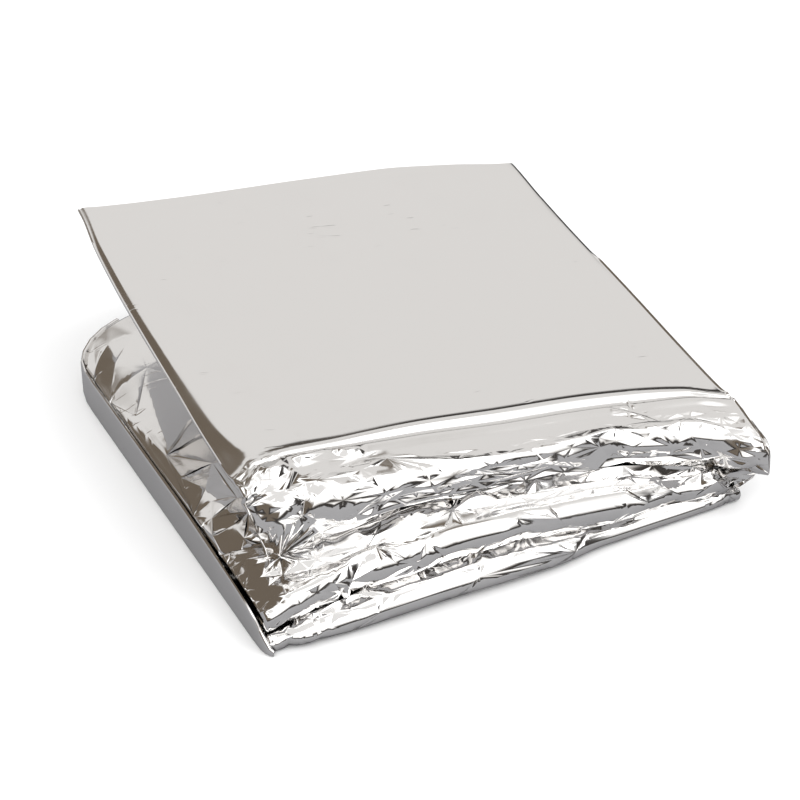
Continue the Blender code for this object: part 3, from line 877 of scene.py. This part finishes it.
# its line on the ground, from front to back: to the right, back
HEM_LINE = [(1.3, -0.3), (0.8, 0.2), (0.35, 1.2), (0.1, 2.4), (0.0, 6.0), (0.0, 30.0),
            (0.0, 60.0), (0.0, 90.0), (0.15, 95.0), (0.9, 99.4), (2.6, 103.4), (5.4, 107.4),
            (9.2, 111.0), (13.5, 113.9)]
HEM_GAP = 0.55              # between the wall and the edge that is turned in
HEM_FOOT = 0.15             # its lower edge stands this far over the ground
HEM_TURN = 0.4              # the wall ends and the leg starts about this far under the top
HEM_BEND = [(0.2, 0.06), (0.5, 0.0), (0.85, 0.1)]   # share of the gap, distance under the top
HEM_FREE = 0.6              # the leg never reaches closer to the ground than this
HEM_STEP = 1.0
HEM_ROWS, HEM_LEG_ROWS = 12, 5
HEM_EVEN = 4                # passes that even out the line's turns
HEM_SHARP = 40


def hem_line():
    """Points along the hem in plan, with the distance from its front end."""
    points, distances, total = [], [], 0.0
    for a, b in zip(HEM_LINE, HEM_LINE[1:]):
        length = math.dist(a, b)
        count = max(1, round(length / HEM_STEP))
        for k in range(count):
            s = k / count
            points.append((a[0] + (b[0] - a[0]) * s, a[1] + (b[1] - a[1]) * s))
            distances.append(total + length * s)
        total += length
    points.append(HEM_LINE[-1])
    distances.append(total)
    return np.array(points), distances


line, distances = hem_line()
heading = np.gradient(line, axis=0)
heading /= np.linalg.norm(heading, axis=1, keepdims=True)
for _ in range(HEM_EVEN):
    heading[1:-1] = (heading[:-2] + heading[1:-1] * 2 + heading[2:]) / 4
    heading /= np.linalg.norm(heading, axis=1, keepdims=True)
inward = np.stack([heading[:, 1], -heading[:, 0]], axis=1)
verts, faces = [], []
for n, (spot, turn_in) in enumerate(zip(line, inward)):
    top = between(HEM_TOP, distances[n], 1)
    ring = []
    profile = [(0.0, HEM_FOOT + (top - HEM_TURN) * k / HEM_ROWS) for k in range(HEM_ROWS + 1)]
    profile += [(HEM_GAP * share, top - under) for share, under in HEM_BEND]
    leg = min(HEM_LEG, top - HEM_FREE)
    profile += [(HEM_GAP, top - HEM_TURN - (leg - HEM_TURN) * k / HEM_LEG_ROWS)
                for k in range(HEM_LEG_ROWS + 1)]
    normals = np.gradient(np.array(profile), axis=0)
    normals = np.stack([-normals[:, 1], normals[:, 0]], axis=1)
    normals /= np.linalg.norm(normals, axis=1, keepdims=True)
    for side in (1, -1):
        one = []
        for (reach, height), (nx, nz) in zip(profile, normals):
            place = spot + turn_in * (reach + side * nx * HEM_FILM / 2)
            one.append((place[0], place[1], height + side * nz * HEM_FILM / 2))
        ring += one[::side]
    verts += ring
count = len(ring)
for n in range(len(line) - 1):
    for k in range(count):
        a, b = n * count + k, n * count + (k + 1) % count
        faces.append((a, b, b + count, a + count))
for end in (0, len(line) - 1):
    for k in range(count // 2 - 1):
        faces.append((end * count + k, end * count + k + 1,
                      end * count + count - 2 - k, end * count + count - 1 - k))
hem_mesh = bpy.data.meshes.new("side_hem")
hem_mesh.from_pydata([((a - CENTRE[0]) * MM, (b - CENTRE[1]) * MM, c * MM)
                      for a, b, c in verts], [], faces)
bm = bmesh.new()
bm.from_mesh(hem_mesh)
bmesh.ops.recalc_face_normals(bm, faces=bm.faces)
bm.to_mesh(hem_mesh)
bm.free()
hem_mesh.materials.append(film)
hem = add_piece(hem_mesh, HEM_SHARP)
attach(hem, "root")
round(distances[-1] * MM, 3)


# ---- the studio ----
# A paper floor and a soft lamp in an evenly white room.  Mirrored rays alone see the room's
# bright and dark zones, and all rays but the camera's own see the paper as mid grey: painted
# shade, so that the foil mirrors a shaded floor while the camera sees white paper.
FLOOR_SIZE = 6.0
# the first colour is painted shade: every ray but the camera's sees the paper this grey, so the
# foil mirrors a shaded floor
FLOOR_MIRRORED_SHADE, FLOOR_WHITE = (0.31, 0.31, 0.32, 1), (0.95, 0.95, 0.95, 1)
FLOOR_ROUGHNESS = 0.9
bpy.ops.mesh.primitive_plane_add(size=FLOOR_SIZE)
floor = bpy.context.object
floor.name = "floor"
paper = bpy.data.materials.new("floor_paper")
paper.use_nodes = True
paper_nodes = Value(paper.node_tree, None)
paper_shader = paper.node_tree.nodes["Principled BSDF"]
# the camera sees the paper white, every other ray sees it in the painted shade
by_camera = paper_nodes.node("ShaderNodeLightPath", output=0)
shade = by_camera.mix(FLOOR_MIRRORED_SHADE, FLOOR_WHITE)
paper_shader.inputs["Roughness"].default_value = FLOOR_ROUGHNESS
paper.node_tree.links.new(shade.socket, paper_shader.inputs["Base Color"])
floor.data.materials.append(paper)

ROOM = (1.25, 1.25, 1.25, 1)
PALE = (0.80, 0.785, 0.77, 1)
BROWN = (0.16, 0.13, 0.10, 1)
DARK = (0.05, 0.045, 0.042, 1)
WHITE = (1.7, 1.7, 1.7, 1)
ZENITH = (0.90, 0.89, 0.88, 1)
# Borders of the zones, each from where its change begins to where it ends.  X is right, y
# back and z up in a ray one long; bearings are radians to the right of straight back.
OVERHEAD_Z, ZENITH_Z = (0.80, 0.88), (0.90, 0.96)
FRONT_Z, FRONT_Y = (0.08, 0.55), (-0.10, 0.40)
FRONT_LEFT_X, FRONT_RIGHT_X = (-0.56, -0.26), (0.52, 0.80)
AROUND_Y, AROUND_X = (0.0, 0.1), (0.5, 0.7)         # the dark front half under the softbox
LEFT_BEARING, LEFT_Z = (-1.9, -1.6), (0.77, 0.84)
LEFT_SLOPE, LEFT_SHIFT, LEFT_SLANT = 3.23, 1.96, (0.16, 0.28)   # its slanting right border
RIGHT_START, RIGHT_END, RIGHT_Z = (1.15, 1.3), (1.9, 2.1), (0.6, 0.7)
HORIZON_Z, HORIZON_RIGHT = (0.16, 0.27), (0.2, 0.5)             # brown left, dark right
BEHIND_Z, BEHIND_Y = (0.24, 0.38), (0.1, 0.3)
world = bpy.data.worlds.new("studio")
world.use_nodes = True
bpy.context.scene.world = world
world.node_tree.nodes.clear()
sky = Value(world.node_tree, None)
direction = sky.node("ShaderNodeTexCoord", output=0)
split = sky.node("ShaderNodeSeparateXYZ", {}, {0: direction})
x, y, z = (Value(world.node_tree, part) for part in split.socket.node.outputs)
bearing = sky.maths("ARCTAN2", x, y)
overhead = z.step(*OVERHEAD_Z)
in_front = z.step(*FRONT_Z) * (1 - y.step(*FRONT_Y))
in_front = in_front * x.step(*FRONT_LEFT_X) * (1 - x.step(*FRONT_RIGHT_X))
softbox = sky.maths("MAXIMUM", overhead, in_front)
around = 1 - y.step(*AROUND_Y)
slant = bearing - z * LEFT_SLOPE + LEFT_SHIFT
left_zone = bearing.step(*LEFT_BEARING) * (1 - slant.step(*LEFT_SLANT)) * (1 - z.step(*LEFT_Z))
right_zone = bearing.step(*RIGHT_START) * (1 - bearing.step(*RIGHT_END))
right_zone = right_zone * (1 - z.step(*RIGHT_Z))
low = 1 - z.step(*HORIZON_Z)
low_behind = (1 - z.step(*BEHIND_Z)) * y.step(*BEHIND_Y)
horizon = sky.maths("MAXIMUM", low, low_behind)
colour = left_zone.mix(PALE, BROWN)
colour = right_zone.mix(colour, DARK)
colour = around.mix(colour, x.step(*AROUND_X).mix(BROWN, DARK))
colour = softbox.mix(colour, z.step(*ZENITH_Z).mix(WHITE, ZENITH))
low_left = bearing.step(*LEFT_BEARING) * (1 - bearing.step(*HORIZON_RIGHT))
colour = horizon.mix(colour, low_left.mix(DARK, BROWN))
mirrored = sky.node("ShaderNodeLightPath", output=3)
background = sky.node("ShaderNodeBackground", {}, {
    "Color": mirrored.mix(ROOM, colour), "Strength": 1.0})
world_output = world.node_tree.nodes.new("ShaderNodeOutputWorld")
world.node_tree.links.new(background.socket, world_output.inputs["Surface"])

LAMP_SIZE = 0.6
LAMP_WATTS = 2.0
LAMP_SPOT = (0.5, -0.4, 0.9)
light = bpy.data.lights.new("softbox", "AREA")
light.shape = "SQUARE"
light.size = LAMP_SIZE
light.energy = LAMP_WATTS
lamp = bpy.data.objects.new("softbox", light)
lamp.location = LAMP_SPOT
lamp.rotation_euler = (-Vector(LAMP_SPOT)).to_track_quat("-Z", "Y").to_euler()
bpy.context.scene.collection.objects.link(lamp)

CAMERA_SPOT = (-0.15314, -0.31175, 0.20493)
CAMERA_TILT, CAMERA_TURN = 60, -26      # degrees up from straight down, degrees to the left
camera = bpy.data.cameras.new("camera")
camera.lens = 90.0
camera.sensor_width = 36.0
camera.clip_start = 0.01
eye = bpy.data.objects.new("camera", camera)
eye.location = CAMERA_SPOT
eye.rotation_euler = (math.radians(CAMERA_TILT), 0, math.radians(CAMERA_TURN))
bpy.context.scene.collection.objects.link(eye)
bpy.context.scene.camera = eye
bpy.context.scene.view_settings.view_transform = "Standard"
